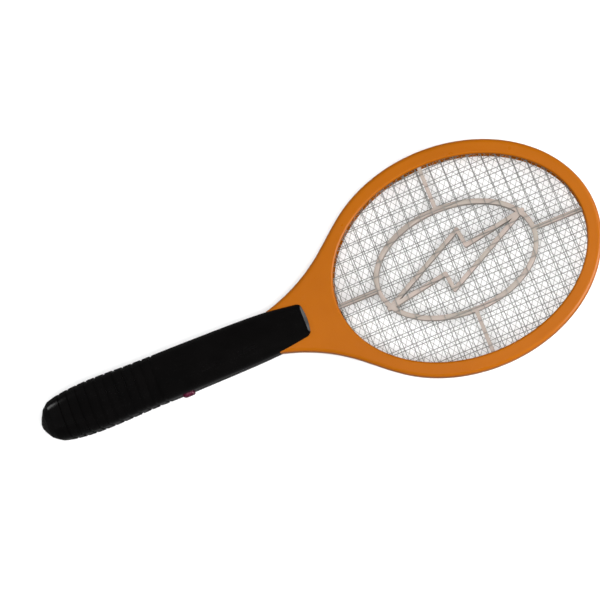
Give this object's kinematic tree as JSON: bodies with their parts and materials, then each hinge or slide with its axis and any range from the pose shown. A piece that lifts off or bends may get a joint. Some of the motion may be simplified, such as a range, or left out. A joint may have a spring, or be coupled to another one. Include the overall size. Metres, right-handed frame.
{
  "type": "electric fly swatter",
  "caption": "Racket-shaped electric fly swatter: oval head with layered wire grids in an orange frame, black battery handle, red trigger button and hinged butt cap over a charging socket.",
  "frame": {"origin": "centre of the overall length and width, on the plane that the racket's back rests on", "axes": "+X along the handle towards the tip of the head, +Y to the left seen from the front with the head up, +Z out of the front face"},
  "size_m": [0.471, 0.181, 0.0337],
  "materials": {
    "orange_plastic": "semi-gloss moulded",
    "black_plastic": "gloss moulded",
    "clear_plastic": "translucent natural plastic",
    "red_plastic": "translucent red",
    "grid_steel": "bright drawn wire",
    "screw_steel": "zinc plated",
    "spring_steel": "drawn",
    "nickel": "nickel plated strip",
    "cell_wrap": "shrink sleeve",
    "board": "solder mask",
    "ferrite": "matt ferrite",
    "copper": "enamelled copper wire",
    "film_red": "dipped film",
    "component_black": "moulded epoxy",
    "resistor_tan": "lacquered ceramic",
    "white_plastic": "moulded",
    "lead_red": "insulated lead",
    "lead_black": "insulated lead",
    "lead_white": "insulated lead"
  },
  "bodies": {
    "racket": {"frame_front": "orange_plastic", "frame_rear": "orange_plastic", "frame_screws": "screw_steel", "front_grid": "grid_steel", "rear_grid": "grid_steel", "centre_grid": "grid_steel", "spacer_front": "clear_plastic", "spacer_rear": "clear_plastic", "handle_front": "black_plastic", "handle_rear": "black_plastic", "handle_screws": "screw_steel", "butt_cap_pin": "screw_steel", "trigger_switch": "component_black", "trigger_spring": "spring_steel", "power_switch_body": "nickel", "indicator_lens": "red_plastic", "indicator_led": "clear_plastic", "battery_cell_right": "cell_wrap", "battery_cell_left": "cell_wrap", "battery_holder": "component_black", "battery_contacts": "nickel", "circuit_board": "board", "transformer_core": "ferrite", "transformer_winding": "copper", "high_voltage_capacitor": "film_red", "rectifier_diodes": "component_black", "resistors": "resistor_tan", "transistor": "component_black", "charge_board": "board", "charging_socket": "nickel", "charge_chip": "component_black", "front_grid_terminal": "nickel", "rear_grid_terminal": "nickel", "centre_grid_terminal": "nickel", "grid_link": "copper", "terminal_sleeve": "component_black", "lead_outer_grids": "lead_red", "lead_centre_grid": "lead_white", "battery_lead_positive": "lead_red", "battery_lead_negative": "lead_black", "charge_lead": "lead_black"},
    "trigger": {"trigger_button": "red_plastic", "switch_plunger": "white_plastic"},
    "power_knob": {"power_switch_knob": "component_black"},
    "cap": {"butt_cap": "black_plastic"}
  },
  "joints": [
    {"name": "trigger_press", "type": "slide", "parent": "racket", "child": "trigger", "axis": [0, 1, 0], "range_m": [0, 0.0015], "stiffness_N_per_m": 600, "deforming": ["trigger_spring"]},
    {"name": "power_slide", "type": "slide", "parent": "racket", "child": "power_knob", "axis": [1, 0, 0], "range_m": [0, 0.005]},
    {"name": "cap_hinge", "type": "hinge", "parent": "racket", "child": "cap", "pos_m": [-0.224, 0, 0.0023], "axis": [0, -1, 0], "range_deg": [0, 100]}
  ]
}
